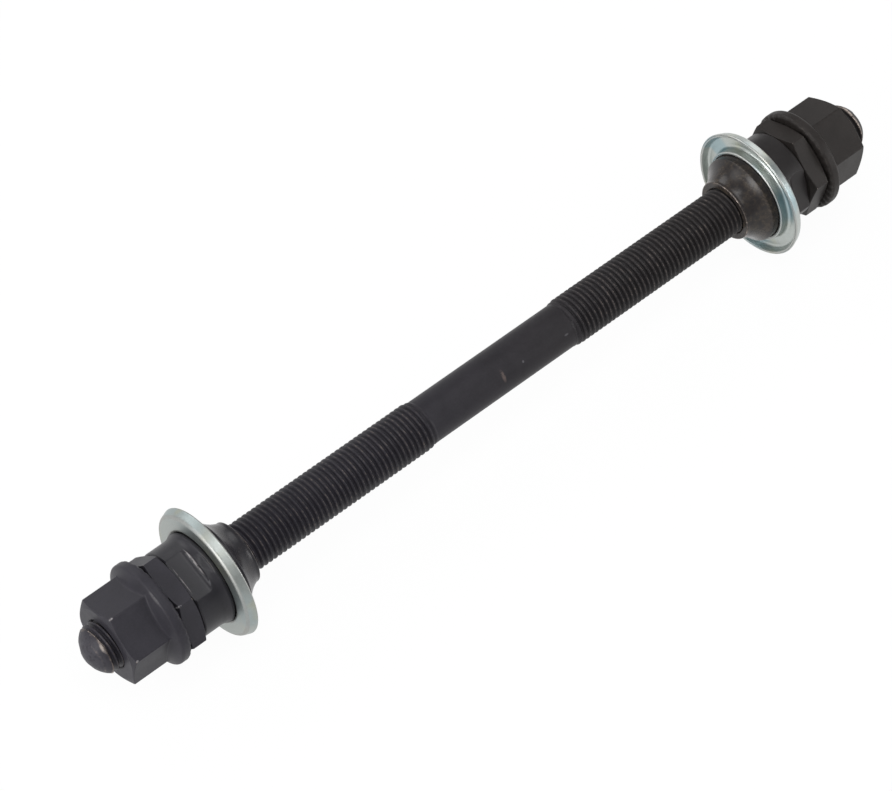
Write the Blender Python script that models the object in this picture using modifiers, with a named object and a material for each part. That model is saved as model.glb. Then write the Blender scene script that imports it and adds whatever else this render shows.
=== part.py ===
"""Bicycle rear hub axle set: a solid threaded axle that carries the same four pieces at each end.

The axle lies along +Y with its middle at the origin, and +Z is up. Each end has a turned bearing cone
with a pressed sheet dust cap on it, a thin hexagonal locknut, and an axle nut made in one piece with
its toothed flange. Each end is built in a frame of its own, whose +Z points outwards along the axle
and whose zero is the outer face of the dust cap.
"""

import math

import bmesh
import bpy
from mathutils import Matrix, Vector

MM = 0.001

# Axle. Its thread has 24 turns to the inch.
AXLE_LENGTH = 184.5 * MM
THREAD_DIAMETER = 9.525 * MM
THREAD_PITCH = 25.4 / 24 * MM
SHANK_LENGTH = 32.5 * MM
THREAD_RUNOUT = 1.6 * MM
TIP_DOME_RADIUS = 5.6 * MM
TIP_CHAMFER = 0.32 * MM

# How far each tip of the axle stands out of its nut
LEFT_STANDOUT = 4.5 * MM
RIGHT_STANDOUT = 5.3 * MM

# Bearing cone
CONE_BODY_DIAMETER = 17.4 * MM
CONE_OUTER_LENGTH = 6.25 * MM
CONE_INNER_LENGTH = 8.0 * MM
CONE_END_CHAMFER = 0.25 * MM
CONE_SHOULDER_DIAMETER = 18.3 * MM
CONE_SHOULDER_WIDTH = 0.5 * MM
CONE_FLARE_LENGTH = 1.2 * MM
CAP_SEAT_DIAMETER = 17.6 * MM
CAP_SEAT_LENGTH = 3.9 * MM
RACE_RADIUS = 7.5 * MM
NOSE_DIAMETER = 12.3 * MM
NOSE_LENGTH = 0.6 * MM
NOSE_CHAMFER = 0.25 * MM
WRENCH_FLAT_WIDTH = 15.0 * MM
WRENCH_FLAT_LENGTH = 4.25 * MM
FLAT_END_RADIUS = 1.2 * MM

# Dust cap
CAP_DIAMETER = 26.0 * MM
CAP_DEPTH = 1.9 * MM
CAP_WALL_DRAFT = math.radians(20)
CAP_CORNER_RADIUS = 0.8 * MM
CAP_COLLAR_HEIGHT = 2.5 * MM
CAP_COLLAR_BEND = 0.5 * MM
CAP_SHEET = 0.6 * MM

# Locknut
LOCKNUT_WIDTH = 17.0 * MM
LOCKNUT_THICKNESS = 3.65 * MM
LOCKNUT_FACE_DIAMETER = 16.4 * MM

# Axle nut
NUT_WIDTH = 15.0 * MM
NUT_HEIGHT = 10.45 * MM
NUT_FACE_DIAMETER = 14.4 * MM
FLANGE_DIAMETER = 20.3 * MM
FLANGE_RIM_THICKNESS = 1.75 * MM
FLANGE_RIM_RADIUS = 0.6 * MM
FLANGE_CONE_SLOPE = math.radians(27)
FLANGE_TEETH = 36
TOOTH_DEPTH = 0.25 * MM
GROOVE_SHARE = 0.8

# Shared by the pieces that turn on the thread
HEX_CHAMFER_SLOPE = math.radians(20)
BORE_COUNTERSINK = 0.3 * MM

# Room between pieces: on the thread, at the pressed cap, and between faces that are screwed together
THREAD_CLEARANCE = 0.08 * MM
CAP_CLEARANCE = 0.1 * MM
SEAT_GAP = 0.3 * MM

# Turn of each piece about the axle: of a hexagon's corner, or a wrench flat, from straight up towards +X
LEFT_CONE_TURN = math.radians(18.5)
LEFT_LOCKNUT_TURN = math.radians(41.4)
LEFT_NUT_TURN = math.radians(9.6)
RIGHT_CONE_TURN = math.radians(72)
RIGHT_LOCKNUT_TURN = math.radians(11.5)
RIGHT_NUT_TURN = math.radians(5.5)

# Fineness of the round forms, and how far a cutter runs past what it cuts
SEGMENTS = 48
FILLET_STEPS = 2
CURVE_STEPS = 5
OVERCUT = 1.0 * MM
SMOOTH_ANGLE = math.radians(30)

THREAD_RADIUS = THREAD_DIAMETER / 2
# A thread is rolled on a bar of its pitch diameter, so the bare shank keeps that size.
SHANK_RADIUS = THREAD_RADIUS - 0.3248 * THREAD_PITCH
BORE_RADIUS = THREAD_RADIUS + THREAD_CLEARANCE
LOCKNUT_PLACE = CONE_OUTER_LENGTH + SEAT_GAP
NUT_PLACE = LOCKNUT_PLACE + LOCKNUT_THICKNESS + SEAT_GAP
NUT_TOP = NUT_PLACE + NUT_HEIGHT

# Base colour, metallic value and roughness of each finish
BLACKENED_AXLE = ((0.028, 0.028, 0.031), 0.75, 0.42)
BLACKENED_CONE = ((0.033, 0.032, 0.033), 0.75, 0.38)
BLACKENED_NUT = ((0.040, 0.040, 0.043), 0.75, 0.45)
ZINC_PLATE = ((0.70, 0.74, 0.72), 1.0, 0.28)


def clear_scene():
    for obj in list(bpy.data.objects):
        bpy.data.objects.remove(obj, do_unlink=True)


def collection(name):
    made = bpy.data.collections.new(name)
    bpy.context.scene.collection.children.link(made)
    return made


def finish_material(name, finish):
    colour, metallic, roughness = finish
    material = bpy.data.materials.new(name)
    material.use_nodes = True
    shader = material.node_tree.nodes["Principled BSDF"]
    shader.inputs["Base Color"].default_value = (*colour, 1.0)
    shader.inputs["Metallic"].default_value = metallic
    shader.inputs["Roughness"].default_value = roughness
    return material


def rounded(corners):
    """Profile points (radius, height) from corners (radius, height, fillet), with an arc at each fillet."""
    points = []
    for i, (radius, height, fillet) in enumerate(corners):
        here = Vector((radius, height))
        if not fillet:
            points.append(here)
            continue
        before = (Vector(corners[i - 1][:2]) - here).normalized()
        after = (Vector(corners[(i + 1) % len(corners)][:2]) - here).normalized()
        half = before.angle(after) / 2
        centre = here + (before + after).normalized() * fillet / math.sin(half)
        start = here + before * fillet / math.tan(half) - centre
        end = here + after * fillet / math.tan(half) - centre
        for step in range(FILLET_STEPS + 1):
            spoke = start.lerp(end, step / FILLET_STEPS).normalized() * fillet
            points.append(centre + spoke)
    return [tuple(point) for point in points]


def hollow_arc(start, end, radius):
    """Points of an arc from start to end that curves in towards the axis, for a profile that runs down."""
    a = Vector(start)
    chord = Vector(end) - a
    outward = Vector((-chord.y, chord.x)).normalized()
    reach = math.sqrt(radius**2 - chord.length_squared / 4)
    centre = a + chord / 2 + outward * reach
    opening = 2 * math.asin(chord.length / (2 * radius))
    first = math.atan2(a.y - centre.y, a.x - centre.x)
    angles = [first + opening * step / CURVE_STEPS for step in range(CURVE_STEPS + 1)]
    return [(centre.x + radius * math.cos(t), centre.y + radius * math.sin(t)) for t in angles]


def mesh_object(name, mesh):
    obj = bpy.data.objects.new(name, mesh)
    workshop.objects.link(obj)
    return obj


def turned(name, profile, ring=False):
    """A profile of (radius, height) points, outer side down, carried round the local Z axis.

    It starts half a segment off local +X, so that no hexagon's corner meets the end of a facet.
    """
    mesh = bpy.data.meshes.new(name)
    edges = [(i, i + 1) for i in range(len(profile) - 1)]
    if ring:
        edges.append((len(profile) - 1, 0))
    start = Matrix.Rotation(math.pi / SEGMENTS, 3, "Z")
    mesh.from_pydata([start @ Vector((radius, 0, height)) for radius, height in profile], edges, [])
    obj = mesh_object(name, mesh)
    screw = obj.modifiers.new("turn", "SCREW")
    screw.steps = screw.render_steps = SEGMENTS
    screw.use_merge_vertices = True
    screw.merge_threshold = 1e-6
    return obj


def hexagon_bar(name, width, bottom, top):
    """A hexagonal bar across the given flats, with a corner on local +Y."""
    bm = bmesh.new()
    corner = width / math.sqrt(3)
    bmesh.ops.create_cone(
        bm,
        cap_ends=True,
        segments=6,
        radius1=corner,
        radius2=corner,
        depth=top - bottom,
        matrix=Matrix.Translation((0, 0, (top + bottom) / 2)),
    )
    mesh = bpy.data.meshes.new(name)
    bm.to_mesh(mesh)
    bm.free()
    return mesh_object(name, mesh)


def boolean(obj, operation, other):
    modifier = obj.modifiers.new(other.name, "BOOLEAN")
    modifier.operation = operation
    modifier.object = other


def bore_cutter(length):
    """The threaded hole with a countersink at each end, for a piece from zero to length."""
    wide = BORE_RADIUS + BORE_COUNTERSINK + OVERCUT
    profile = [(0, length + OVERCUT), (wide, length + OVERCUT), (BORE_RADIUS, length - BORE_COUNTERSINK)]
    profile += [(BORE_RADIUS, BORE_COUNTERSINK), (wide, -OVERCUT), (0, -OVERCUT)]
    return turned("bore_cutter", profile)


def finished_mesh(obj, name, material):
    """The object's final mesh, shaded smooth up to its real edges. The working objects are removed."""
    graph = bpy.context.evaluated_depsgraph_get()
    mesh = bpy.data.meshes.new_from_object(obj.evaluated_get(graph))
    mesh.name = name
    mesh.shade_smooth()
    mesh.set_sharp_from_angle(angle=SMOOTH_ANGLE)
    mesh.materials.clear()
    mesh.materials.append(material)
    for helper in list(workshop.objects):
        bpy.data.objects.remove(helper, do_unlink=True)
    return mesh


def make_axle():
    """Dome, lead chamfer, thread crest and run-out down to the bare shank, the same at both ends."""
    tip = AXLE_LENGTH / 2
    dome_edge = THREAD_RADIUS - TIP_CHAMFER
    dome_angle = math.asin(dome_edge / TIP_DOME_RADIUS)
    half = []
    for step in range(CURVE_STEPS + 1):
        angle = dome_angle * step / CURVE_STEPS
        height = tip - TIP_DOME_RADIUS * (1 - math.cos(angle))
        half.append((TIP_DOME_RADIUS * math.sin(angle), height))
    half.append((THREAD_RADIUS, half[-1][1] - TIP_CHAMFER))
    half.append((THREAD_RADIUS, SHANK_LENGTH / 2 + THREAD_RUNOUT))
    half.append((SHANK_RADIUS, SHANK_LENGTH / 2))
    return turned("axle", half + [(radius, -height) for radius, height in reversed(half)])


def make_cone():
    """Body with two wrench flats, flared shoulder, seat for the cap, hollow race and threaded bore."""
    body = CONE_BODY_DIAMETER / 2
    shoulder = CONE_SHOULDER_DIAMETER / 2
    seat = CAP_SEAT_DIAMETER / 2
    nose = NOSE_DIAMETER / 2
    mouth = BORE_RADIUS + BORE_COUNTERSINK
    top = CONE_OUTER_LENGTH
    bottom = -CONE_INNER_LENGTH
    shoulder_top = SEAT_GAP + CONE_SHOULDER_WIDTH
    race_top = (seat - NOSE_CHAMFER / 2, -CAP_SEAT_LENGTH - NOSE_CHAMFER / 2)
    race_bottom = (nose, bottom + NOSE_LENGTH)

    profile = [(mouth, top), (body - CONE_END_CHAMFER, top), (body, top - CONE_END_CHAMFER)]
    profile += hollow_arc(
        (body, shoulder_top + CONE_FLARE_LENGTH), (shoulder, shoulder_top), CONE_FLARE_LENGTH * 2
    )
    profile += [(shoulder, SEAT_GAP), (seat, SEAT_GAP), (seat, -CAP_SEAT_LENGTH)]
    profile += hollow_arc(race_top, race_bottom, RACE_RADIUS)
    profile += [(nose, bottom + NOSE_CHAMFER), (nose - NOSE_CHAMFER, bottom), (mouth, bottom)]
    profile += [(BORE_RADIUS, bottom + BORE_COUNTERSINK), (BORE_RADIUS, top - BORE_COUNTERSINK)]
    cone = turned("cone", profile, ring=True)

    boolean(cone, "DIFFERENCE", flat_cutter(top))
    return cone


def flat_cutter(top):
    """Two blocks that mill the wrench flats. The edge that ends each flat is round, as the mill is."""
    bm = bmesh.new()
    length = 2 * WRENCH_FLAT_LENGTH
    for side in (-1, 1):
        place = Matrix.Translation((0, side * (WRENCH_FLAT_WIDTH + CONE_BODY_DIAMETER) / 2, top))
        size = Matrix.Diagonal((2 * CONE_BODY_DIAMETER, CONE_BODY_DIAMETER, length, 1))
        bmesh.ops.create_cube(bm, size=1, matrix=place @ size)
    deep = {v for v in bm.verts if v.co.z < top and abs(v.co.y) < CONE_BODY_DIAMETER}
    ends = [edge for edge in bm.edges if deep.issuperset(edge.verts)]
    bmesh.ops.bevel(
        bm, geom=ends, offset=FLAT_END_RADIUS, segments=CURVE_STEPS, profile=0.5, affect="EDGES"
    )
    mesh = bpy.data.meshes.new("flat_cutter")
    bm.to_mesh(mesh)
    bm.free()
    return mesh_object("flat_cutter", mesh)


def make_dust_cap():
    """A pressed sheet dish with a turned-in collar: its outer surface, thickened towards the bearing."""
    collar = CAP_SEAT_DIAMETER / 2 + CAP_CLEARANCE
    lip = CAP_DIAMETER / 2
    corner = lip - CAP_DEPTH * math.tan(CAP_WALL_DRAFT)
    outer_side = rounded(
        [
            (collar, -CAP_COLLAR_HEIGHT, 0),
            (collar, 0, CAP_COLLAR_BEND),
            (corner, 0, CAP_CORNER_RADIUS),
            (lip, -CAP_DEPTH, 0),
        ]
    )
    cap = turned("dust_cap", outer_side)
    sheet = cap.modifiers.new("sheet", "SOLIDIFY")
    sheet.thickness = CAP_SHEET
    sheet.offset = -1
    sheet.use_even_offset = True
    return cap


def chamfered_disc(name, face_diameter, bottom, top, both_ends):
    """The turned blank that a hexagon is cut from: it takes the corners off one end or both."""
    face = face_diameter / 2
    reach = face + 2 * OVERCUT
    drop = (reach - face) * math.tan(HEX_CHAMFER_SLOPE)
    profile = [(0, top), (face, top), (reach, top - drop)]
    profile += [(reach, bottom + drop), (face, bottom)] if both_ends else [(reach, bottom)]
    return turned(name, profile + [(0, bottom)])


def make_locknut():
    nut = hexagon_bar("locknut", LOCKNUT_WIDTH, -OVERCUT, LOCKNUT_THICKNESS + OVERCUT)
    blank = chamfered_disc("blank", LOCKNUT_FACE_DIAMETER, 0, LOCKNUT_THICKNESS, both_ends=True)
    boolean(nut, "INTERSECT", blank)
    boolean(nut, "DIFFERENCE", bore_cutter(LOCKNUT_THICKNESS))
    return nut


def make_flange():
    """The flange as a turned disc: rounded rim, and a cone that runs up into the hexagon."""
    rim = FLANGE_DIAMETER / 2
    inside_hexagon = NUT_WIDTH / 2 - OVERCUT / 2
    rise = (rim - inside_hexagon) * math.tan(FLANGE_CONE_SLOPE)
    outline = [
        (0, FLANGE_RIM_THICKNESS + rise, 0),
        (inside_hexagon, FLANGE_RIM_THICKNESS + rise, 0),
        (rim, FLANGE_RIM_THICKNESS, FLANGE_RIM_RADIUS),
        (rim, 0, FLANGE_RIM_RADIUS),
        (0, 0, 0),
    ]
    return turned("flange", rounded(outline))


def groove_cutter():
    """One wedge for each groove between the flange's teeth. Width and depth grow with the radius."""
    rim = FLANGE_DIAMETER / 2
    bm = bmesh.new()
    for tooth in range(FLANGE_TEETH):
        turn = Matrix.Rotation(math.tau * tooth / FLANGE_TEETH, 3, "Z")
        corners = []
        for radius in (THREAD_RADIUS / 2, rim + OVERCUT):
            depth = TOOTH_DEPTH * radius / rim
            below = depth * (1 / GROOVE_SHARE - 1) / 2
            half_width = math.pi * radius / FLANGE_TEETH * (1 + GROOVE_SHARE) / 2
            wedge = ((radius, half_width, -below), (radius, -half_width, -below), (radius, 0, depth))
            corners += [bm.verts.new(turn @ Vector(point)) for point in wedge]
        bmesh.ops.convex_hull(bm, input=corners)
    mesh = bpy.data.meshes.new("groove_cutter")
    bm.to_mesh(mesh)
    bm.free()
    return mesh_object("groove_cutter", mesh)


def make_axle_nut():
    """Hexagon, flange, bore and the ring of radial teeth that bites the frame."""
    nut = hexagon_bar("axle_nut", NUT_WIDTH, FLANGE_RIM_THICKNESS / 2, NUT_HEIGHT + OVERCUT)
    blank = chamfered_disc("blank", NUT_FACE_DIAMETER, -OVERCUT, NUT_HEIGHT, both_ends=False)
    boolean(nut, "INTERSECT", blank)
    boolean(nut, "UNION", make_flange())
    boolean(nut, "DIFFERENCE", bore_cutter(NUT_HEIGHT))
    boolean(nut, "DIFFERENCE", groove_cutter())
    return nut


def end_frame(name, side, place):
    """An empty on the axle whose +Z points out along the axle, at side -1 or 1."""
    frame = bpy.data.objects.new(name, None)
    frame.location = (0, side * place, 0)
    frame.rotation_euler = (-side * math.pi / 2, 0, 0)
    frame.empty_display_size = CAP_DIAMETER
    hub_axle.objects.link(frame)
    return frame


def seat(name, mesh, frame, place, turn):
    """A piece on the axle at a distance along its end's frame, turned about the axle."""
    obj = bpy.data.objects.new(name, mesh)
    obj.parent = frame
    obj.location = (0, 0, place)
    obj.rotation_euler = (0, 0, turn)
    hub_axle.objects.link(obj)


clear_scene()
hub_axle = collection("bicycle_hub_axle")
workshop = collection("workshop")

axle_mesh = finished_mesh(make_axle(), "axle", finish_material("blackened_axle", BLACKENED_AXLE))
cone_mesh = finished_mesh(make_cone(), "cone", finish_material("blackened_cone", BLACKENED_CONE))
cap_mesh = finished_mesh(make_dust_cap(), "dust_cap", finish_material("zinc_plate", ZINC_PLATE))
nut_finish = finish_material("blackened_nut", BLACKENED_NUT)
locknut_mesh = finished_mesh(make_locknut(), "locknut", nut_finish)
axle_nut_mesh = finished_mesh(make_axle_nut(), "axle_nut", nut_finish)

middle = end_frame("middle", 1, 0)
seat("axle", axle_mesh, middle, 0, 0)
ENDS = (
    ("left", -1, LEFT_STANDOUT, LEFT_CONE_TURN, LEFT_LOCKNUT_TURN, LEFT_NUT_TURN),
    ("right", 1, RIGHT_STANDOUT, RIGHT_CONE_TURN, RIGHT_LOCKNUT_TURN, RIGHT_NUT_TURN),
)
for end_name, side, standout, cone_turn, locknut_turn, nut_turn in ENDS:
    frame = end_frame(f"{end_name}_end", side, AXLE_LENGTH / 2 - standout - NUT_TOP)
    seat(f"{end_name}_cone", cone_mesh, frame, 0, side * cone_turn)
    seat(f"{end_name}_dust_cap", cap_mesh, frame, 0, side * cone_turn)
    seat(f"{end_name}_locknut", locknut_mesh, frame, LOCKNUT_PLACE, side * locknut_turn)
    seat(f"{end_name}_axle_nut", axle_nut_mesh, frame, NUT_PLACE, side * nut_turn)
bpy.data.collections.remove(workshop)
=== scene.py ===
"""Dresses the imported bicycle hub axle: a cut helical thread, softened edges, blackened steel and zinc plate.

Every new piece is a surface on a grid of two parameters, worked out with numpy as whole arrays. The axle lies
along Y with its middle at the origin, and its left end points to -Y. Angles round the axle start at +Z and
grow towards +X.
"""

import logging
import math
from dataclasses import dataclass, field
from enum import Enum
from functools import partial
from typing import Any, Callable

import bmesh
import bpy
import numpy as np
from mathutils import Matrix, Vector


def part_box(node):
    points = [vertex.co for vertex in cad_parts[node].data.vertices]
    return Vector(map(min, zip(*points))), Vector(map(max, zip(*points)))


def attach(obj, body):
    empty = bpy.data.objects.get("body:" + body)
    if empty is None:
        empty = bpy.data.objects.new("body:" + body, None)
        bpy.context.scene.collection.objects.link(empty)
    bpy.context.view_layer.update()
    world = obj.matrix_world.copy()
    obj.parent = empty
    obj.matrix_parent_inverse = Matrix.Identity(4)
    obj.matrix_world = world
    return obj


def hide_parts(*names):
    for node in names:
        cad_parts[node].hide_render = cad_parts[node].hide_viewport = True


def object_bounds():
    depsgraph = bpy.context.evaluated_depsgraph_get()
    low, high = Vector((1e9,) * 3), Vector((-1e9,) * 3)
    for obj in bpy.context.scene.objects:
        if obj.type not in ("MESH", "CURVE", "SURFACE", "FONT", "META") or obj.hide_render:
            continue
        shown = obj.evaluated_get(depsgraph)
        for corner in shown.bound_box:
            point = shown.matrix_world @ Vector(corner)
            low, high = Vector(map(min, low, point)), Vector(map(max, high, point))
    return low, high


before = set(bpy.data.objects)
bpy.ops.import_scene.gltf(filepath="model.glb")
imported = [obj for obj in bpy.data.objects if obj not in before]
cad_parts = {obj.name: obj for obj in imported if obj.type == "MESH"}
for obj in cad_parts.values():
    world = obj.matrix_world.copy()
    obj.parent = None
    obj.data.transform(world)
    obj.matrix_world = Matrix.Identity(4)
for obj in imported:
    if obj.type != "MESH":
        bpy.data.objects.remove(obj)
CAD_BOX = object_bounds()

LOG = logging.getLogger("hub_axle")
MM = 0.001
TINY = 1e-9
WELD_DISTANCE = 0.0004 * MM
WEAR_LAYER = "wear"

# A mark this long, in millimetres, covers its stretch of the axle all the way round.
ALL_ROUND = 99.0

# The CAD leaves gaps of 0.3 mm. Each nut is drawn this much nearer to its neighbour, as if screwed down.
NUT_CLOSURE = 0.24 * MM

# A finish changes from the near end's to the far end's between these two places along y.
FROM_NEAR_TO_FAR = (-0.05, 0.06)

Pair = tuple[float, float]
Colour = tuple[float, float, float]
Size = float | np.ndarray
Corner = tuple[Size, Size, float]
Socket = bpy.types.NodeSocket
Mesh = bpy.types.Mesh


class End(Enum):
    """One end of the axle, by the direction in which it points along Y."""

    LEFT = -1
    RIGHT = 1

    @property
    def label(self) -> str:
        """The word that starts this end's node and body names."""
        return self.name.lower()

    def reach(self, node: str) -> Pair:
        """How far a CAD node's inner and outer faces lie from the axle's middle, outwards along this end.

        Args:
            node: name of the CAD node.

        Returns:
            The inner and the outer distance, in metres.
        """
        low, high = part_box(node)
        inner, outer = sorted((self.value * low.y, self.value * high.y))
        return inner, outer


# Shader expressions


def operator(operation: str, swapped: bool = False) -> "Callable[[Value, Value | float], Value]":
    """Makes the method behind an arithmetic sign.

    Args:
        operation: the Math node's operation.
        swapped: whether the value itself is the second operand.

    Returns:
        The method, which adds one Math node.
    """

    def method(value: "Value", other: "Value | float") -> "Value":
        """The value and the other number, put together by the operation."""
        return value.computed(operation, *((other, value) if swapped else (value, other)))

    return method


class Value:
    """A number that changes over a surface. Arithmetic on it adds Math nodes to its material."""

    def __init__(self, shader: "Nodes", socket: Socket) -> None:
        """Wraps an output socket of a node."""
        self.shader = shader
        self.socket = socket

    def computed(self, operation: str, *operands: "Value | float") -> "Value":
        """The result of one Math node on the operands, in their order."""
        node = self.shader.node("Math", {"operation": operation}, dict(enumerate(operands)))
        return Value(self.shader, node.outputs[0])

    __add__ = operator("ADD")
    __radd__ = operator("ADD", swapped=True)
    __sub__ = operator("SUBTRACT")
    __rsub__ = operator("SUBTRACT", swapped=True)
    __mul__ = operator("MULTIPLY")
    __rmul__ = operator("MULTIPLY", swapped=True)
    __truediv__ = operator("DIVIDE")

    def hypot(self, other: "Value") -> "Value":
        """sqrt(self^2 + other^2)."""
        return self.computed("SQRT", self * self + other * other)

    def size(self) -> "Value":
        """self without its sign."""
        return self.computed("ABSOLUTE", self)

    def angle(self, other: "Value") -> "Value":
        """The angle of the direction (other, self), in radians."""
        return self.computed("ARCTAN2", self, other)

    def between(self, first: float, second: float) -> "Value":
        """The first number where self is 0 and the second where it is 1."""
        return first + (second - first) * self

    def step(self, low: float, high: float) -> "Value":
        """0 up to low and 1 from high on, with a smooth rise between them.

        Args:
            low: the value at which the rise starts. It may be above high, and the step then falls.
            high: the value at which it ends.

        Returns:
            The stepped value, from 0 to 1.
        """
        inputs = {"Value": self, "From Min": low, "From Max": high}
        node = self.shader.node("MapRange", {"interpolation_type": "SMOOTHSTEP"}, inputs)
        return Value(self.shader, node.outputs[0])


class Nodes:
    """A node tree under construction."""

    def __init__(self, tree: bpy.types.NodeTree) -> None:
        """Wraps a material's or a world's node tree."""
        self.tree = tree

    def node(
        self, kind: str, settings: dict[str, Any] | None = None, inputs: dict[str | int, Any] | None = None
    ) -> bpy.types.Node:
        """Adds a node, sets its settings, then fills or links its input sockets.

        Args:
            kind: the node's type without the ShaderNode in front.
            settings: properties of the node, such as a Math node's operation.
            inputs: socket name or index to a number, a colour, a Value or a socket.

        Returns:
            The new node.
        """
        node = self.tree.nodes.new(f"ShaderNode{kind}")
        for name, setting in (settings or {}).items():
            setattr(node, name, setting)
        for name, given in (inputs or {}).items():
            self.feed(node.inputs[name], given)
        return node

    def feed(self, socket: Socket, given: Any) -> None:
        """Links a Value or a socket to an input, or sets it to a plain number or colour.

        Args:
            socket: the input.
            given: what it gets. A colour is given without its alpha, which is 1.
        """
        if isinstance(given, Value):
            given = given.socket
        if isinstance(given, Socket):
            self.tree.links.new(given, socket)
        elif isinstance(given, tuple) and socket.type == "RGBA":
            socket.default_value = (*given, 1.0)
        else:
            socket.default_value = given

    def seen(self, *rays: str) -> Value:
        """1 for rays of the named kinds, as the Light Path node names them, and 0 for all others."""
        outputs = self.node("LightPath").outputs
        return sum(Value(self, outputs[ray]) for ray in rays).step(0.0, 1.0)

    def mixed(self, share: Value, first: Socket, second: Socket) -> None:
        """Mixes two shaders and sends them to the tree's output.

        Args:
            share: how much of the second shows, from 0 to 1.
            first: the shader that shows where share is 0.
            second: the one that shows where it is 1.
        """
        mix = self.node("MixShader", inputs={0: share, 1: first, 2: second})
        output = next(node for node in self.tree.nodes if node.type.startswith("OUTPUT"))
        self.feed(output.inputs["Surface"], mix.outputs[0])


class Shader(Nodes):
    """A material under construction, around one Principled BSDF."""

    def __init__(self, name: str) -> None:
        """Makes an empty node material.

        Args:
            name: the material's name.
        """
        self.material = bpy.data.materials.new(name)
        self.material.use_nodes = True
        super().__init__(self.material.node_tree)
        self.surface = self.tree.nodes["Principled BSDF"]
        self.place = self.node("TexCoord").outputs["Object"]

    def axes(self) -> tuple[Value, Value, Value]:
        """The point's x, y and z on the object, in metres."""
        parts = self.node("SeparateXYZ", inputs={0: self.place}).outputs
        return Value(self, parts[0]), Value(self, parts[1]), Value(self, parts[2])

    def join(self, x: Value | float, y: Value | float, z: Value | float) -> Socket:
        """A vector from its three parts."""
        return self.node("CombineXYZ", inputs={0: x, 1: y, 2: z}).outputs[0]

    def noise(
        self, size: float, detail: float = 2.0, rough: float = 0.5, at: Socket | None = None
    ) -> Value:
        """Cloudy noise from 0 to 1.

        Args:
            size: the width of its largest spots, in the units of the place it reads.
            detail: how many finer layers it has.
            rough: how strong the finer layers are.
            at: the vector it reads in place of the point on the object.

        Returns:
            The noise.
        """
        inputs = {"Vector": at or self.place, "Scale": 1.0 / size, "Detail": detail, "Roughness": rough}
        return Value(self, self.node("TexNoise", inputs=inputs).outputs[0])

    def wear(self) -> Value:
        """The wear painted on the mesh: 1 along its outer edges and crests."""
        return Value(self, self.node("Attribute", {"attribute_name": WEAR_LAYER}).outputs["Fac"])

    def blend(self, share: Value, first: Any, second: Any) -> Socket:
        """The first colour where share is 0 and the second where it is 1."""
        # A Mix node's colours are its inputs 6 and 7 and its output 2.
        return self.node("Mix", {"data_type": "RGBA"}, {0: share, 6: first, 7: second}).outputs[2]

    def shade(self, colour: Socket, amount: Value) -> Socket:
        """A colour made lighter or darker by an amount that is 1 where it stays the same."""
        grey = self.join(amount, amount, amount)
        return self.node("VectorMath", {"operation": "MULTIPLY"}, {0: colour, 1: grey}).outputs[0]

    def bumped(self, height: Value, depth: float) -> None:
        """Raises the surface's look by a height from 0 to 1 over a depth in metres."""
        bump = self.node("Bump", inputs={"Height": height, "Distance": depth, "Strength": 1.0})
        self.feed(self.surface.inputs["Normal"], bump.outputs[0])

    def finish(self, **sockets: Any) -> bpy.types.Material:
        """Fills the surface's sockets and hands over the material.

        Args:
            sockets: the socket's name with _ for each space, and its number, colour, Value or socket.

        Returns:
            The material.
        """
        for name, given in sockets.items():
            self.feed(self.surface.inputs[name.replace("_", " ").title().replace("Ior", "IOR")], given)
        return self.material


@dataclass(frozen=True)
class Mark:
    """A small scuff, a nick, a painted glint or a painted highlight line: an oval whose middle lies at y =
    along and at an angle in degrees.

    Its length runs round the axle and its width along it. along, length and width are in millimetres. It
    is full up to the core's share of the way out.
    """

    along: float
    angle: float
    length: float
    width: float
    colour: Colour
    core: float = 0.35

    def share(self, y: Value, turn: Value, radius: Value) -> Value:
        """1 in the mark's middle and 0 outside its oval."""
        across = (turn - math.radians(self.angle)) * radius / (self.length / 2 * MM)
        return across.hypot((y - self.along * MM) / (self.width / 2 * MM)).step(1.0, self.core)


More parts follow.
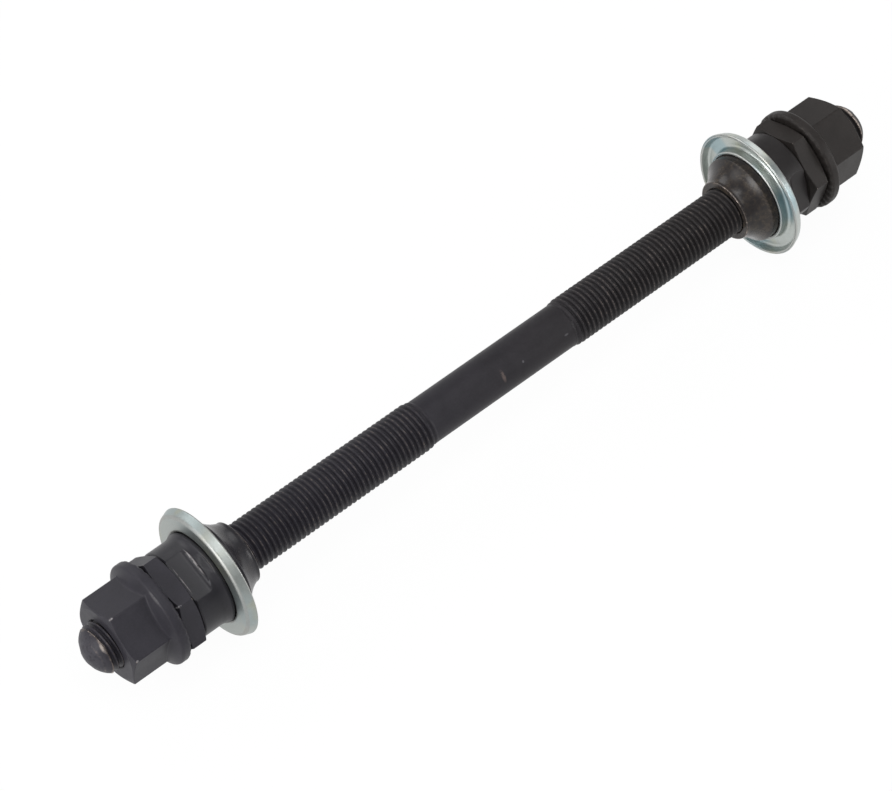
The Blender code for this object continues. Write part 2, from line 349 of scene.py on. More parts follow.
@dataclass(frozen=True)
class BlackPhosphate:
    """Steel blackened in a phosphate bath: a dark fine-grained coat, rubbed off along edges and crests.

    Its colour runs from the near end's to the far end's. Nearer to the middle than ground_up_to, the steel
    was ground before its bath, so there it is smoother, and stained towards the far end. cloud, patch,
    mottle, grain and ring are the widths of its spots.
    """

    name: str
    near_colour: Colour
    far_colour: Colour
    worn_colour: Colour = (0.120, 0.100, 0.090)
    bare_colour: Colour = (0.400, 0.340, 0.300)
    stain_colour: Colour = (0.042, 0.033, 0.025)
    ground_up_to: float = 0.0
    ground_edge: float = 1.2 * MM
    near_stain: float = 0.2
    roughness: float = 0.46
    ground_polish: float = 0.12
    specular: float = 0.16
    wear_amount: float = 0.5
    speck_strength: float = 0.35
    plain_level: float = 0.50
    cloud_level: float = 0.5
    patch_level: float = 0.20
    mottle_level: float = 0.36
    stain_range: Pair = (0.42, 0.66)
    mark_range: Pair = (0.30, 0.55)
    rub_range: Pair = (0.24, 0.42)
    polish_range: Pair = (0.38, 0.50)
    speck_range: Pair = (0.70, 0.78)
    cloud: float = 3.0 * MM
    patch: float = 0.7 * MM
    mottle: float = 0.34 * MM
    grain: float = 0.16 * MM
    grain_depth: float = 0.009 * MM
    ring: float = 0.05 * MM
    turning_depth: float = 0.0
    marks: tuple[Mark, ...] = ()

    def material(self) -> bpy.types.Material:
        """Builds the material from the point on the object and the mesh's wear layer.

        Returns:
            The finished material.
        """
        shader = Shader(self.name)
        x, y, z = shader.axes()
        radius = x.hypot(z)
        clouds = shader.noise(self.cloud, 3.0)
        patches = shader.noise(self.patch, 4.0, 0.65)
        mottle = shader.noise(self.mottle, 2.0, 0.6)
        grain = shader.noise(self.grain, 2.0, 0.6)
        rings = shader.noise(self.ring, 1.0, 0.5, shader.join(radius, y, 0.0))
        far = y.step(*FROM_NEAR_TO_FAR)
        coat = shader.blend(far, self.near_colour, self.far_colour)
        level = self.plain_level + self.cloud_level * clouds + self.patch_level * patches
        coat = shader.shade(coat, level + self.mottle_level * mottle)
        roughness = self.roughness + 0.16 * (clouds - 0.5) + 0.10 * (patches - 0.5)
        if self.ground_up_to:
            ground = y.size().step(self.ground_up_to, self.ground_up_to - self.ground_edge)
            stain = ground * (0.5 * patches + 0.5 * clouds).step(*self.stain_range)
            stain = stain * far.between(self.near_stain, 1.0)
            coat = shader.blend(stain, coat, self.stain_colour)
            roughness = roughness - self.ground_polish * ground
        # Marks blend their colour into the coat: real scuffs and nicks, and painted glints and painted
        # highlight lines.
        for mark in self.marks:
            share = mark.share(y, x.angle(z), radius) * patches.step(*self.mark_range)
            coat = shader.blend(share, coat, mark.colour)
        wear = shader.wear() * self.wear_amount * (patches + 0.35 * clouds)
        rubbed, polished = wear.step(*self.rub_range), wear.step(*self.polish_range)
        specks = patches.step(*self.speck_range) * self.speck_strength
        worn = shader.blend(rubbed + specks * (1.0 - rubbed), coat, self.worn_colour)
        shader.bumped(grain * self.grain_depth / MM + rings * self.turning_depth / MM, MM)
        return shader.finish(
            base_color=shader.blend(polished, worn, self.bare_colour),
            metallic=0.03 + 0.75 * rubbed,
            roughness=roughness - 0.08 * rubbed,
            specular_ior_level=self.specular,
        )


@dataclass(frozen=True)
class ZincPlate:
    """Bright zinc on pressed sheet steel: pale, faintly iridescent, dull where the sheet was cut.

    The near cap's coat is duller, greyer and less blue than the far one's, and its colour is painted
    darker as a painted shade. tint, warmth, smear, speck and ring are the widths of its spots.
    """

    name: str
    pale: Colour = (0.46, 0.49, 0.47)
    blue: Colour = (0.33, 0.42, 0.44)
    straw: Colour = (0.46, 0.47, 0.38)
    cut: Colour = (0.42, 0.40, 0.385)
    cut_strength: float = 0.45
    straw_strength: float = 0.7
    # Painted shade: the near cap's colour is scaled down by this much.
    near_painted_shade: float = 0.82
    near_blue: float = 0.4
    near_roughness: float = 0.45
    far_roughness: float = 0.36
    plain_level: float = 0.66
    smear_level: float = 0.16
    brushed_level: float = 0.14
    speck_level: float = 0.34
    blue_range: Pair = (0.46, 0.62)
    straw_range: Pair = (0.50, 0.66)
    edge_range: Pair = (0.15, 0.6)
    tint: float = 9.0 * MM
    warmth: float = 6.0 * MM
    smear: float = 1.6 * MM
    speck: float = 0.26 * MM
    ring: float = 0.11 * MM
    streaks: float = 60.0
    streak_length: float = 4.0 * MM
    ring_depth: float = 0.0010 * MM
    smear_depth: float = 0.0016 * MM
    speck_depth: float = 0.0030 * MM

    def material(self) -> bpy.types.Material:
        """Builds the material from the point on the object and the mesh's wear layer.

        Returns:
            The finished material.
        """
        shader = Shader(self.name)
        x, y, z = shader.axes()
        radius = x.hypot(z)
        rings = shader.noise(self.ring, 1.0, 0.5, shader.join(radius, y, 0.0))
        tint = shader.noise(self.tint, 1.0)
        warm = shader.noise(self.warmth, 2.0, 0.5, shader.join(z, x, y))
        smears = shader.noise(self.smear, 3.0, 0.6)
        specks = shader.noise(self.speck, 2.0, 0.6)
        length = self.streak_length
        turned = shader.join(z.angle(x) * self.streaks, radius / length, y / length)
        brushed = shader.noise(1.0, 2.0, 0.6, turned)
        edge = shader.wear().step(*self.edge_range)
        far = y.step(*FROM_NEAR_TO_FAR)
        blue_share = tint.step(*self.blue_range) * far.between(self.near_blue, 1.0)
        colour = shader.blend(blue_share, self.pale, self.blue)
        colour = shader.blend(warm.step(*self.straw_range) * self.straw_strength, colour, self.straw)
        colour = shader.blend(edge * self.cut_strength, colour, self.cut)
        level = self.plain_level + self.smear_level * smears + self.brushed_level * brushed
        level = level + self.speck_level * specks
        roughness = far.between(self.near_roughness, self.far_roughness)
        heights = rings * self.ring_depth + smears * self.smear_depth + specks * self.speck_depth
        shader.bumped(heights / MM, MM)
        # The near cap's colour is painted darker here: painted shade.
        return shader.finish(
            base_color=shader.shade(colour, level * far.between(self.near_painted_shade, 1.0)),
            metallic=1.0,
            roughness=roughness + 0.12 * (smears - 0.5) + 0.12 * (brushed - 0.5) + 0.08 * edge,
        )


# Surfaces


@dataclass
class Section:
    """A closed section of (radius, height, fillet) corners, each given at many angles round the axle.

    Each fillet's arc has so many steps. support is how far past an arc the flat has a row of points, and
    support_limit the most of the flat that this takes. rub turns the wear of its points and their radii
    into the wear they get.
    """

    corners: list[Corner]
    angles: np.ndarray
    steps: int = 4
    support: float = 0.12 * MM
    support_limit: float = 0.3
    arc_limit: float = 0.42
    least_angle: float = 0.05
    rub: Callable[[np.ndarray, np.ndarray], np.ndarray] | None = None

    def rounded(self) -> tuple[np.ndarray, np.ndarray]:
        """Rounds every corner by its fillet, at all angles at once.

        Where two sides meet at an angle 2h, an arc of radius r touches each of them r / tan(h) from the
        corner, and its centre lies r / sin(h) from it along the line that halves the angle. The arc never
        takes more of a side than arc_limit. A row of points on each side just past the arc keeps the flat
        beyond it flat.

        Returns:
            Points as (row, angle, 2), and the wear of each: the sine of how sharply an outer edge turns, at
            its most in the middle of the arc.
        """
        columns = len(self.angles)
        spread = [[np.broadcast_to(size, columns) for size in corner[:2]] for corner in self.corners]
        here = np.moveaxis(np.array(spread, dtype=float), 1, 2)
        fillet = np.array([f for _, _, f in self.corners])[:, None, None]
        back, ahead = np.roll(here, 1, 0) - here, np.roll(here, -1, 0) - here
        back_length = np.linalg.norm(back, axis=-1, keepdims=True)
        ahead_length = np.linalg.norm(ahead, axis=-1, keepdims=True)
        back, ahead = back / np.maximum(back_length, TINY), ahead / np.maximum(ahead_length, TINY)
        half = 0.5 * np.arccos(np.clip((back * ahead).sum(-1, keepdims=True), -1.0, 1.0))
        half = np.maximum(half, self.least_angle)
        shorter = np.minimum(back_length, ahead_length)
        touch = np.minimum(fillet / np.tan(half), self.arc_limit * shorter)
        middle = back + ahead
        middle = middle / np.maximum(np.linalg.norm(middle, axis=-1, keepdims=True), TINY)
        centre = here + middle * touch / np.cos(half)
        first, last = here + back * touch - centre, here + ahead * touch - centre
        sweep = np.maximum(math.pi - 2.0 * half, 0.0001)
        share = np.linspace(0.0, 1.0, self.steps + 1)[:, None, None, None]
        arc = first * np.sin((1.0 - share) * sweep) + last * np.sin(share * sweep)
        arc = arc / np.sin(sweep) + centre
        reach = touch + np.minimum(self.support, self.support_limit * (shorter - touch) * (touch > 0))
        rows = np.concatenate([(here + back * reach)[None], arc, (here + ahead * reach)[None]])
        turn = back[..., 0] * ahead[..., 1] - back[..., 1] * ahead[..., 0]
        bow = np.concatenate([[0.0], np.sin(math.pi * share[:, 0, 0, 0]), [0.0]])
        wear = bow[:, None, None] * np.clip(turn, 0.0, 1.0)
        points = np.swapaxes(rows, 0, 1).reshape(-1, columns, 2)
        return points, np.swapaxes(wear, 0, 1).reshape(-1, columns)

    def swept(self, name: str, end: End, base: float) -> Mesh:
        """Carries the section round the axle, its heights growing outwards from base.

        Args:
            name: the mesh's name.
            end: the end of the axle it sits at.
            base: how far height zero lies from the axle's middle.

        Returns:
            The closed mesh.
        """
        outline, wear = self.rounded()
        rows, columns = wear.shape
        radius, height = outline[..., 0], outline[..., 1]
        wear = self.rub(wear, radius) if self.rub else wear
        points = round_axle(radius, self.angles, end.value * (base + height))
        here = np.arange(rows * columns).reshape(rows, columns)
        beside, after = np.roll(here, -1, 1), np.roll(here, -1, 0)
        quads = np.stack([here, beside, np.roll(beside, -1, 0), after], -1)
        return closed_mesh(name, points.reshape(-1, 3), [quads.reshape(-1, 4)], wear.ravel())


def round_axle(radius: np.ndarray, angle: np.ndarray, y: np.ndarray) -> np.ndarray:
    """Places round the axle: x is radius sin(angle) and z is radius cos(angle)."""
    return np.stack(np.broadcast_arrays(radius * np.sin(angle), y, radius * np.cos(angle)), -1)


def closed_mesh(name: str, points: np.ndarray, faces: list[np.ndarray], wear: np.ndarray) -> Mesh:
    """Puts points and faces into a mesh, welds points that coincide and turns all faces outwards.

    Args:
        name: the mesh's name.
        points: (count, 3) places in metres.
        faces: arrays of point numbers, one array for each number of corners.
        wear: the wear at each point.

    Returns:
        The mesh, shaded smooth.
    """
    mesh = bpy.data.meshes.new(name)
    mesh.from_pydata(points, [], [face for group in faces for face in group.tolist()])
    mesh.attributes.new(WEAR_LAYER, "FLOAT", "POINT").data.foreach_set("value", wear.astype(np.float32))
    bm = bmesh.new()
    bm.from_mesh(mesh)
    bmesh.ops.remove_doubles(bm, verts=bm.verts, dist=WELD_DISTANCE)
    bmesh.ops.recalc_face_normals(bm, faces=bm.faces)
    bm.to_mesh(mesh)
    bm.free()
    mesh.shade_smooth()
    return mesh


def merged_angles(*groups: np.ndarray) -> np.ndarray:
    """All the angles of the groups, within one turn, in order and without repeats."""
    return np.unique(np.round(np.concatenate(groups) % math.tau, 4) % math.tau)


@dataclass(frozen=True)
class Hexagon:
    """A hexagon with slightly rounded corners, seen along the axle."""

    width: float
    turn: float
    rounding: float = 0.28 * MM
    rounding_points: int = 7
    flat_points: int = 9
    corner_part: float = 0.45

    def _off_corner(self, angles: np.ndarray) -> np.ndarray:
        """How far each angle lies from the nearest corner, in radians."""
        sixth = math.pi / 3
        return np.abs((angles - self.turn + sixth / 2) % sixth - sixth / 2)

    @property
    def _tangent(self) -> float:
        """How far from a corner its rounding meets the flat, in radians."""
        along = (self.width / 2 - self.rounding) * math.tan(math.pi / 6)
        return math.pi / 6 - math.atan2(along, self.width / 2)

    def radius(self, angles: np.ndarray) -> np.ndarray:
        """The distance from the axle to the outline.

        On a flat it is half the width over the cosine of the angle from the flat's middle. Round a corner it
        is the far crossing of the ray with a circle whose centre c lies on the corner's line:
        c cos(e) + sqrt(rounding^2 - c^2 sin(e)^2), where e is the angle from the corner.

        Args:
            angles: directions round the axle.

        Returns:
            One radius for each.
        """
        off = self._off_corner(angles)
        centre = (self.width / 2 - self.rounding) / math.cos(math.pi / 6)
        under_root = np.maximum(self.rounding**2 - (centre * np.sin(off)) ** 2, 0.0)
        corner = centre * np.cos(off) + np.sqrt(under_root)
        return np.where(off < self._tangent, corner, self.width / 2 / np.cos(math.pi / 6 - off))

    def angles(self) -> np.ndarray:
        """Directions that catch every corner's rounding and the flats between.

        Returns:
            The angles, from one corner to the next.
        """
        near = np.linspace(-self._tangent, self._tangent, self.rounding_points)
        flat = np.linspace(1.5 * self._tangent, math.pi / 3 - 1.5 * self._tangent, self.flat_points)
        sixths = self.turn + np.arange(6) * math.pi / 3
        return np.add.outer(sixths, np.concatenate([near, flat])).ravel()

    def rub(self, angles: np.ndarray, wear: np.ndarray, radius: np.ndarray) -> np.ndarray:
        """Shares the wear out between the edges that run round the axle and the hexagon's own corners.

        Only where the two meet does it come to 1, so there the coat is rubbed through.

        Args:
            angles: directions of the columns.
            wear: wear of the edges round the axle.
            radius: how far each point lies from the axle. Beyond the hexagon there are no corners.

        Returns:
            The wear of both together.
        """
        corner = np.sqrt(np.clip(1.0 - self._off_corner(angles) / self._tangent, 0.0, 1.0))
        inside = radius <= self.width / 2 / math.cos(math.pi / 6)
        return (1.0 - self.corner_part) * wear + self.corner_part * corner * inside


# Pieces


def placed(name: str, data: bpy.types.ID, place: Matrix | None = None) -> bpy.types.Object:
    """Puts a mesh, lamp or camera in the scene.

    Args:
        name: the object's name.
        data: what it shows.
        place: its matrix, where it isn't the world's own.

    Returns:
        The object.
    """
    made = bpy.data.objects.new(name, data)
    if place:
        made.matrix_world = place
    bpy.context.scene.collection.objects.link(made)
    return made


@dataclass(kw_only=True)
class Piece:
    """A part of the set that replaces the CAD node of the same name."""

    node: str
    rides: str
    slot: str
    finish: bpy.types.Material

    def mesh(self) -> Mesh:
        """The piece's own surface. Each kind of piece makes its own."""
        raise NotImplementedError

    def build(self) -> bpy.types.Object:
        """Makes the piece, dresses it and ties it to its body.

        Returns:
            The finished object.
        """
        mesh = self.mesh()
        mesh.materials.append(self.finish)
        piece = placed(f"{self.node}_dressed", mesh)
        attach(piece, self.rides)
        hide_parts(self.node)
        return piece


def smooth(share: np.ndarray) -> np.ndarray:
    """0 up to a share of 0 and 1 from 1 on, rising as 3 s^2 - 2 s^3 between them."""
    share = np.clip(share, 0.0, 1.0)
    return share * share * (3.0 - 2.0 * share)


@dataclass
class Skin:
    """Points, wear and faces of one surface, gathered strip by strip."""

    points: list[np.ndarray] = field(default_factory=list)
    wear: list[np.ndarray] = field(default_factory=list)
    faces: list[np.ndarray] = field(default_factory=list)

    def add(self, points: np.ndarray, wear: np.ndarray | float = 0.0) -> int:
        """Adds points.

        Args:
            points: (count, 3) places.
            wear: the wear at each, or one value for all.

        Returns:
            The number of the first of them.
        """
        first = sum(len(group) for group in self.points)
        self.points.append(points)
        self.wear.append(np.broadcast_to(wear, len(points)))
        return first

    def band(self, one: np.ndarray, other: np.ndarray) -> None:
        """Joins two closed rings of as many points with quads."""
        self.faces.append(np.stack([one, np.roll(one, -1), np.roll(other, -1), other], -1))

    def zip(self, loop: np.ndarray, ring: np.ndarray, beyond: bool) -> None:
        """Joins a thread's end loop to a ring that lies half a column off.

        The loop runs once round the axle and then back down column 0, over one pitch. Its part round the
        axle and the ring are joined by alternate triangles. A fan from one point of the ring takes in column
        0, from the side on which the thread leaves a step there: past column 0 beyond the thread's last row,
        and before it ahead of the first.

        Args:
            loop: point numbers of the thread's end.
            ring: point numbers of the ring.
            beyond: whether the ring lies beyond the thread's last row, and not ahead of its first.
        """
        columns = len(ring)
        around, column = loop[: columns + 1], np.append(loop[columns:], loop[0])
        pivot, corner = (ring[0], around[-1]) if beyond else (ring[-1], loop[0])
        self.faces.append(np.stack([around[:-1], around[1:], ring], -1))
        self.faces.append(np.stack([around[1:-1], ring[1:], ring[:-1]], -1))
        self.faces.append(np.stack([np.full(len(column) - 1, pivot), column[:-1], column[1:]], -1))
        self.faces.append(np.array([[ring[-1], corner, ring[0]]]))

    def mesh(self, name: str) -> Mesh:
        """The gathered surface as a closed mesh."""
        return closed_mesh(name, np.concatenate(self.points), self.faces, np.concatenate(self.wear))


@dataclass(kw_only=True)
class ThreadedAxle(Piece):
    """The rod: a rolled thread over each end, a bare shank between them and a domed tip outside each.

    thread_depth and pitch_line, the depth below the crest at which thread and groove are equally wide, are
    shares of the pitch, and so are past_shank and ring_gap, which set where the thread and the shank join.
    """

    diameter: float = 9.525 * MM
    pitch: float = 25.4 / 24 * MM
    shank: float = 32.5 * MM
    runout: float = 2.2 * MM
    first_rows: tuple[int, int] = (5, 0)
    lead: Pair = (2.1 * MM, 2.9 * MM)
    dome_radius: float = 5.6 * MM
    dome_margin: float = 0.3 * MM
    dome_rings: tuple[float, ...] = (0.75, 0.4, 0.12)
    columns: int = 64
    thread_depth: float = 0.6134
    pitch_line: float = 0.3248
    crest_share: float = 0.14
    root_share: float = 0.22
    phases: tuple[float, ...] = (-0.38, -0.225, -0.07, 0.0, 0.07, 0.225, 0.38, 0.5)
    past_shank: float = 1.2
    ring_gap: float = 0.3
    crest_wear: float = 0.68
    rim_wear: float = 1.1
    rim_width: float = 0.35 * MM

    @property
    def tip(self) -> float:
        """The distance of each tip from the middle, as the CAD node has it."""
        return End.RIGHT.reach(self.node)[1]

    @property
    def shank_radius(self) -> float:
        """A thread is rolled on a bar of its pitch diameter, so the bare shank keeps that size."""
        return self.diameter / 2 - self.pitch_line * self.pitch

    def dome(self, along: np.ndarray) -> np.ndarray:
        """The tip's radius: sqrt(R^2 - z^2), with z measured from the dome's centre and never below 0."""
        drop = np.clip(along - (self.tip - self.dome_radius), 0.0, self.dome_radius)
        return np.sqrt(self.dome_radius**2 - drop**2)

    def skin(self, along: np.ndarray, phase: np.ndarray) -> tuple[np.ndarray, np.ndarray]:
        """Radius and wear at a distance from the middle, for a phase of the thread.

        The crest is flat over crest_share of the pitch and the root over root_share, with straight flanks
        between. Towards the shank, crest and root both fade to the shank's radius. The depth fades over the
        lead at the tip, where the radius is the smaller one of thread and dome.

        Args:
            along: distance from the axle's middle.
            phase: 0 on the crest, and 0.5 or -0.5 in the root.

        Returns:
            The radius, and the wear: some on the crests, and most round the dome's edge.
        """
        flank = (np.abs(phase) - self.crest_share / 2) / (0.5 - (self.crest_share + self.root_share) / 2)
        flank = np.clip(flank, 0.0, 1.0)
        full = smooth((self.tip - along - self.lead[0]) / (self.lead[1] - self.lead[0]))
        thread = self.diameter / 2 - self.thread_depth * self.pitch * full * flank
        fade = smooth((along - self.shank / 2) / self.runout)
        thread = self.shank_radius + (thread - self.shank_radius) * fade
        dome = self.dome(along)
        rim = np.exp(-(((dome - thread) / self.rim_width) ** 2)) * (along > self.tip - self.dome_radius)
        wear = np.maximum(self.crest_wear * (1.0 - flank) * fade, self.rim_wear * rim)
        return np.minimum(thread, dome), wear

    def thread(self, skin: Skin, first: float, last: float, first_row: int) -> list[np.ndarray]:
        """Adds one thread, whose grid rows follow its helix.

        Column i of row j lies at y = first + (turn + phase + i / columns) * pitch. One turn has m rows, and
        what the column past the last one would be in row j is column 0 in row j + m. So column 0 runs m rows
        on, and the thread ends in loops that go once round and then back along column 0.

        Args:
            skin: the surface to add to.
            first: y of the first row in column 0.
            last: y that the last row in column 0 doesn't pass.
            first_row: which of the phases the first row has.

        Returns:
            The loops at the first and the last row.
        """
        phases = np.roll(self.phases, -first_row)
        per_turn, columns = len(phases), self.columns
        turns = int(math.ceil((last - first) / self.pitch)) + 1
        rise = (np.arange(turns)[:, None] + ((phases - phases[0]) % 1.0)[None, :]).ravel()
        rise = rise[first + rise * self.pitch <= last]
        phase = np.resize(phases, len(rise))
        share = np.arange(columns) / columns
        rows = len(rise) - per_turn
        y = first + (rise[:rows, None] + share[None, :]) * self.pitch
        y = np.concatenate([y.ravel(), first + rise[rows:] * self.pitch])
        angle = np.concatenate([np.tile(share, rows), np.zeros(per_turn)]) * math.tau
        phase = np.concatenate([np.repeat(phase[:rows], columns), phase[rows:]])
        radius, wear = self.skin(np.abs(y), phase)
        start = skin.add(round_axle(radius, angle, y), wear)
        grid = start + np.arange(rows * columns).reshape(rows, columns)
        column = np.concatenate([grid[:, 0], start + rows * columns + np.arange(per_turn)])
        past = np.concatenate([grid[:, 1:], column[per_turn:, None]], 1)
        quads = np.stack([grid[:-1], past[:-1], past[1:], grid[1:]], -1)
        skin.faces.append(quads.reshape(-1, 4))
        ends = (0, rows - 1)
        return [np.concatenate([grid[row], column[row + 1 : row + per_turn + 1][::-1]]) for row in ends]

    def ring(self, skin: Skin, y: float) -> np.ndarray:
        """Adds a plain ring of the skin, half a column off the thread's columns.

        Args:
            skin: the surface to add to.
            y: where the ring lies.

        Returns:
            Its point numbers.
        """
        angle = (np.arange(self.columns) + 0.5) / self.columns * math.tau
        radius, _ = self.skin(np.full(self.columns, abs(y)), np.full(self.columns, 0.5))
        return skin.add(round_axle(radius, angle, y)) + np.arange(self.columns)

    def tip_cap(self, skin: Skin, end: End, loop: np.ndarray) -> None:
        """Closes one end outside its thread: a few rings of the dome and a fan to its pole.

        Args:
            skin: the surface to add to.
            end: which end.
            loop: point numbers of the thread's outer end.
        """
        places = [end.value * (self.tip - self.dome_margin * left) for left in self.dome_rings]
        rings = [self.ring(skin, y) for y in places]
        skin.zip(loop, rings[0], end is End.RIGHT)
        for one, other in zip(rings, rings[1:]):
            skin.band(one, other)
        pole = skin.add(np.array([[0.0, end.value * self.tip, 0.0]]))
        last = rings[-1]
        skin.faces.append(np.stack([last, np.roll(last, -1), np.full_like(last, pole)], -1))

    def mesh(self) -> Mesh:
        """One closed surface along +Y: pole, dome, thread, shank, thread, dome, pole.

        Returns:
            The axle.
        """
        skin = Skin()
        edge = self.tip - self.dome_margin
        bare = self.shank / 2 - self.past_shank * self.pitch
        outer_left, inner_left = self.thread(skin, -edge, -bare, self.first_rows[0])
        inner_right, outer_right = self.thread(skin, bare, edge, self.first_rows[1])
        self.tip_cap(skin, End.LEFT, outer_left)
        self.tip_cap(skin, End.RIGHT, outer_right)
        left_ring = self.ring(skin, -bare + self.ring_gap * self.pitch)
        right_ring = self.ring(skin, bare - self.ring_gap * self.pitch)
        skin.zip(inner_left, left_ring, True)
        skin.zip(inner_right, right_ring, False)
        skin.band(left_ring, right_ring)
        return skin.mesh(self.node)


@dataclass(kw_only=True)
class EndPiece(Piece):
    """A ring-shaped piece at one end of the axle, on its threaded bore.

    turn is how far it is turned round the axle, in radians, and columns how many directions it has at least.
    """

    end: End
    turn: float = 0.0
    bore: float = 4.8 * MM
    countersink: float = 0.22 * MM
    bore_fillet: float = 0.05 * MM
    mouth_fillet: float = 0.08 * MM
    closed_up: float = 0.0
    columns: int = 96

    def reach(self) -> Pair:
        """How far the inner and outer faces lie from the middle.

        The CAD node leaves room at its inner face. A nut is screwed down on its neighbour here, so closed_up
        takes most of that room.
        """
        inner, outer = self.end.reach(self.node)
        return inner - self.closed_up, outer

    @property
    def widest(self) -> float:
        """The CAD node's largest radius: half the width of its box."""
        low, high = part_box(self.node)
        return (high.x - low.x) / 2

    @property
    def mouth(self) -> float:
        """The bore's radius where its countersink ends."""
        return self.bore + self.countersink


def around(count: int) -> np.ndarray:
    """So many directions, evenly spaced round the axle."""
    return np.arange(count) * math.tau / count


def hollow(start: Pair, end: Pair, radius: float, steps: int) -> list[Corner]:
    """Corners along an arc that bends in towards the axle, for an outline that runs inwards along it.

    The arc's centre lies off the chord's middle by sqrt(radius^2 - (chord / 2)^2), on the side away from
    the axle. The corners lie on it at even angles t, at centre + radius (cos t, sin t).

    Args:
        start: the first (radius, height).
        end: the last one.
        radius: the arc's radius.
        steps: how many pieces it has.

    Returns:
        Corners with no fillet.
    """
    a, b = np.array(start), np.array(end)
    chord = b - a
    length = float(np.linalg.norm(chord))
    outward = np.array([-chord[1], chord[0]]) / length
    centre = (a + b) / 2 + outward * math.sqrt(radius**2 - length**2 / 4)
    first = math.atan2(*(a - centre)[::-1])
    angles = first + np.linspace(0.0, 2 * math.asin(length / (2 * radius)), steps + 1)
    return [(centre[0] + radius * math.cos(t), centre[1] + radius * math.sin(t), 0.0) for t in angles]


@dataclass(kw_only=True)
class BearingCone(EndPiece):
    """The turned cone: body with two milled wrench flats, flared shoulder, cap seat, race and nose."""

    outer_radius: float = 8.7 * MM
    end_chamfer: float = 0.25 * MM
    shoulder_width: float = 0.5 * MM
    shoulder_fillets: Pair = (0.1 * MM, 0.12 * MM)
    flare: float = 1.2 * MM
    flare_radius: float = 2.4 * MM
    flare_steps: int = 6
    seat_radius: float = 8.8 * MM
    seat_length: float = 3.9 * MM
    seat_gap: float = 0.12 * MM
    seat_fillet: float = 0.05 * MM
    race_radius: float = 7.5 * MM
    race_edge: float = 0.12 * MM
    race_steps: int = 12
    nose_radius: float = 6.15 * MM
    nose_length: float = 0.6 * MM
    nose_rounding: float = 0.25 * MM
    flat_width: float = 15.0 * MM
    flat_length: float = 4.25 * MM
    flat_margin: float = 1.04
    flat_columns: int = 61
    mill_radius: float = 1.2 * MM
    mill_steps: int = 10
    least_cosine: float = 0.1
    mouth_fillet: float = 0.06 * MM
    edge_fillet: float = 0.06 * MM
    columns: int = 120

    def body(self) -> list[Pair]:
        """The body's outline below its end chamfer: straight, then flared out to the shoulder.

        Returns:
            The (radius, height) of each point of the flare, from the straight part inwards along the axle.
        """
        shoulder_top = self.seat_gap + self.shoulder_width
        start, end = (self.outer_radius, shoulder_top + self.flare), (self.widest, shoulder_top)
        flare = hollow(start, end, self.flare_radius, self.flare_steps)
        return [(radius, height) for radius, height, _ in flare]

    def flat_distance(self, height: np.ndarray, top: float) -> np.ndarray:
        """How far the milled surface lies from the axle's middle plane at each height.

        It is half the flat's width. Over the flat's last stretch it rises along the mill's arc, by
        R - sqrt(R^2 - d^2) at a distance d past the arc's start.
        """
        past = np.clip(top - self.flat_length + self.mill_radius - height, 0.0, self.mill_radius)
        return self.flat_width / 2 + self.mill_radius - np.sqrt(self.mill_radius**2 - past**2)

    def directions(self) -> np.ndarray:
        """Evenly spaced angles, and closer ones across both flats and round their edges.

        A flat's edges lie off its middle by the angle whose cosine is half its width over the body's radius.

        Returns:
            The angles in order.
        """
        edge = math.acos(self.flat_width / 2 / self.outer_radius)
        across = self.turn + np.linspace(-self.flat_margin, self.flat_margin, self.flat_columns) * edge
        return merged_angles(around(self.columns), across, across + math.pi)

    def mesh(self) -> Mesh:
        """At each angle and height the radius is the smaller one of the body and the milled surface.

        Returns:
            The cone, with height 0 at the dust cap's outer face.
        """
        inner, outer = self.reach()
        base = self.end.reach(f"{self.end.label}_dust_cap")[1]
        top, bottom = outer - base, inner - base
        angles = self.directions()
        off = (angles - self.turn + math.pi / 2) % math.pi - math.pi / 2
        lean = np.maximum(np.cos(off), self.least_cosine)

        def skin(radius: float, height: float, fillet: float = 0.0) -> Corner:
            """A corner of the body, cut back to the milled surface where that lies nearer."""
            return np.minimum(radius, self.flat_distance(np.array(height), top) / lean), height, fillet

        flare = self.body()
        arc_start = top - self.flat_length + self.mill_radius
        arc = arc_start - self.mill_radius * np.sin(np.linspace(0.0, math.pi / 2, self.mill_steps))
        corners: list[Corner] = [
            (self.bore, top - self.countersink, self.bore_fillet),
            (self.mouth, top, self.mouth_fillet),
            skin(self.outer_radius - self.end_chamfer, top, self.edge_fillet),
            skin(self.outer_radius, top - self.end_chamfer, self.edge_fillet),
        ]
        corners += [skin(self.outer_radius, height) for height in arc if height > flare[0][1]]
        corners += [skin(radius, height) for radius, height in flare[:-1]]
        corners += [
            (*flare[-1], self.shoulder_fillets[0]),
            (self.widest, self.seat_gap, self.shoulder_fillets[1]),
            (self.seat_radius, self.seat_gap, self.seat_fillet),
            (self.seat_radius, -self.seat_length, self.race_edge),
        ]
        corners += hollow(
            (self.seat_radius - self.race_edge, -self.seat_length - self.race_edge),
            (self.nose_radius, bottom + self.nose_length),
            self.race_radius,
            self.race_steps,
        )
        corners += [
            (self.nose_radius, bottom, self.nose_rounding),
            (self.mouth, bottom, self.mouth_fillet),
            (self.bore, bottom + self.countersink, self.bore_fillet),
        ]
        return Section(corners, angles).swept(self.node, self.end, base)


